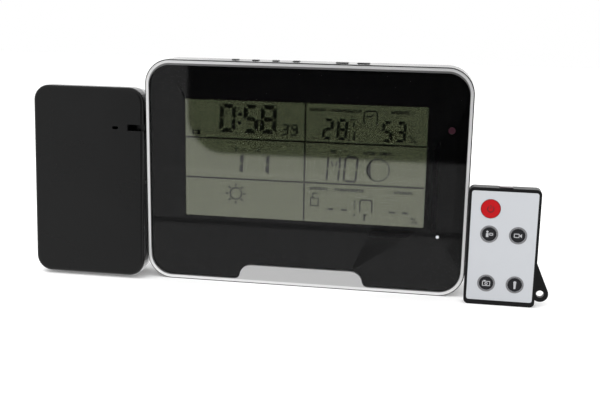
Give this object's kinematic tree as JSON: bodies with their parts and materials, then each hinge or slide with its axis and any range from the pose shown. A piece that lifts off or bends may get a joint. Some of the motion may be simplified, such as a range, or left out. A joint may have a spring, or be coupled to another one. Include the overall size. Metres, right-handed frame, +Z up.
{
  "type": "home weather station",
  "caption": "Tabletop weather station: a display console with a side-mounted swivelling projector arm and a small card remote standing beside it.",
  "frame": {"origin": "centre of the console's flat base, on the surface it stands on", "axes": "+X to the viewer's right along the console's width, -Y towards the viewer, +Z up"},
  "size_m": [0.2642, 0.0405, 0.1145],
  "materials": {
    "silver_trim": "satin silver paint on plastic",
    "black_housing": "fine-textured moulded plastic",
    "clear_window": "clear acrylic",
    "gloss_black": "printed gloss black",
    "lcd": "olive liquid crystal display",
    "light_guide": "milky acrylic",
    "white_plastic": "moulded",
    "elastomer": "soft",
    "circuit_board": "solder mask",
    "blue_board": "solder mask",
    "chip": "moulded epoxy",
    "steel": "zinc plated",
    "spring_steel": "nickel plated",
    "ferrite": "sintered ferrite",
    "bearing_brass": "sintered",
    "sensor_plastic": "dark tinted",
    "led_clear": "clear epoxy",
    "cell_sleeve": "plastic sleeve",
    "rubber_pad": "matt",
    "arm_plastic": "satin",
    "lens_glass": "polished",
    "remote_plastic": "satin",
    "white_label": "printed film",
    "red_key": "soft satin",
    "dark_key": "soft satin"
  },
  "bodies": {
    "console": {"front_housing": "black_housing", "rear_housing": "black_housing", "front_frame": "silver_trim", "front_window": "clear_window", "window_mask": "gloss_black", "light_sensor": "sensor_plastic", "indicator_led": "led_clear", "lcd_glass": "lcd", "lcd_backlight": "light_guide", "lcd_carrier": "white_plastic", "zebra_strips": "elastomer", "main_board": "circuit_board", "board_chips": "chip", "board_screws": "steel", "radio_module": "blue_board", "ferrite_antenna": "ferrite", "buzzer": "chip", "humidity_sensor": "white_plastic", "dc_jack": "chip", "key_board": "circuit_board", "key_switches": "chip", "battery_cells": "cell_sleeve", "battery_springs": "spring_steel", "battery_contacts": "spring_steel", "housing_screws": "steel", "foot_pads": "rubber_pad", "hinge_bushing": "bearing_brass"},
    "arm": {"hinge_washer": "arm_plastic", "arm_shaft": "steel", "shaft_clip": "spring_steel", "arm_front_shell": "arm_plastic", "arm_rear_shell": "arm_plastic", "arm_board": "circuit_board", "arm_screws": "steel", "projector_led": "led_clear", "projector_slide": "lcd", "projector_barrel": "arm_plastic", "projector_lens": "lens_glass"},
    "focus_ring": {"focus_ring": "arm_plastic"},
    "battery_door": {"battery_door": "black_housing"},
    "remote": {"remote_front_shell": "remote_plastic", "remote_back_shell": "remote_plastic", "remote_label": "white_label", "remote_dome_mat": "spring_steel", "remote_board": "circuit_board", "remote_emitter": "sensor_plastic", "remote_screws": "steel"},
    "top_key_1": {"top_key_1": "black_housing"},
    "top_key_2": {"top_key_2": "black_housing"},
    "top_key_3": {"top_key_3": "black_housing"},
    "top_key_4": {"top_key_4": "black_housing"},
    "top_key_5": {"top_key_5": "black_housing"},
    "top_key_6": {"top_key_6": "black_housing"},
    "remote_power_key": {"remote_power_key": "red_key"},
    "remote_key_1": {"remote_key_1": "dark_key"},
    "remote_key_2": {"remote_key_2": "dark_key"},
    "remote_key_3": {"remote_key_3": "dark_key"},
    "remote_key_4": {"remote_key_4": "dark_key"},
    "cell_tray": {"remote_cell_tray": "remote_plastic", "remote_coin_cell": "spring_steel"}
  },
  "joints": [
    {"name": "arm_swivel", "type": "hinge", "parent": "console", "child": "arm", "pos_m": [-0.0825, -0.006, 0.0792], "axis": [1, 0, 0], "range_deg": [0, 180]},
    {"name": "focus_turn", "type": "hinge", "parent": "arm", "child": "focus_ring", "pos_m": [-0.11215, 0.00091, 0.02376], "axis": [0, 0.9986, -0.0523], "range_deg": [-45, 45]},
    {"name": "battery_door_off", "type": "slide", "parent": "console", "child": "battery_door", "axis": [0, 1, 0], "range_m": [0, 0.03]},
    {"name": "remote_lift", "type": "slide", "parent": "console", "child": "remote", "axis": [0, 0, 1], "range_m": [0, 0.12]},
    {"name": "cell_tray_slide", "type": "slide", "parent": "remote", "child": "cell_tray", "axis": [1, 0, 0], "range_m": [0, 0.024]},
    {"name": "top_key_1_press", "type": "slide", "parent": "console", "child": "top_key_1", "axis": [0, 0, -1], "range_m": [0, 0.0004], "stiffness_N_per_m": 300, "springref_m": -0.0005},
    {"name": "top_key_2_press", "type": "slide", "parent": "console", "child": "top_key_2", "axis": [0, 0, -1], "range_m": [0, 0.0004], "stiffness_N_per_m": 300, "springref_m": -0.0005},
    {"name": "top_key_3_press", "type": "slide", "parent": "console", "child": "top_key_3", "axis": [0, 0, -1], "range_m": [0, 0.0004], "stiffness_N_per_m": 300, "springref_m": -0.0005},
    {"name": "top_key_4_press", "type": "slide", "parent": "console", "child": "top_key_4", "axis": [0, 0, -1], "range_m": [0, 0.0004], "stiffness_N_per_m": 300, "springref_m": -0.0005},
    {"name": "top_key_5_press", "type": "slide", "parent": "console", "child": "top_key_5", "axis": [0, 0, -1], "range_m": [0, 0.0004], "stiffness_N_per_m": 300, "springref_m": -0.0005},
    {"name": "top_key_6_press", "type": "slide", "parent": "console", "child": "top_key_6", "axis": [0, 0, -1], "range_m": [0, 0.0004], "stiffness_N_per_m": 300, "springref_m": -0.0005},
    {"name": "remote_power_key_press", "type": "slide", "parent": "remote", "child": "remote_power_key", "axis": [0, 1, 0], "range_m": [0, 0.0005], "stiffness_N_per_m": 300, "springref_m": -0.0005},
    {"name": "remote_key_1_press", "type": "slide", "parent": "remote", "child": "remote_key_1", "axis": [0, 1, 0], "range_m": [0, 0.0005], "stiffness_N_per_m": 300, "springref_m": -0.0005},
    {"name": "remote_key_2_press", "type": "slide", "parent": "remote", "child": "remote_key_2", "axis": [0, 1, 0], "range_m": [0, 0.0005], "stiffness_N_per_m": 300, "springref_m": -0.0005},
    {"name": "remote_key_3_press", "type": "slide", "parent": "remote", "child": "remote_key_3", "axis": [0, 1, 0], "range_m": [0, 0.0005], "stiffness_N_per_m": 300, "springref_m": -0.0005},
    {"name": "remote_key_4_press", "type": "slide", "parent": "remote", "child": "remote_key_4", "axis": [0, 1, 0], "range_m": [0, 0.0005], "stiffness_N_per_m": 300, "springref_m": -0.0005}
  ]
}
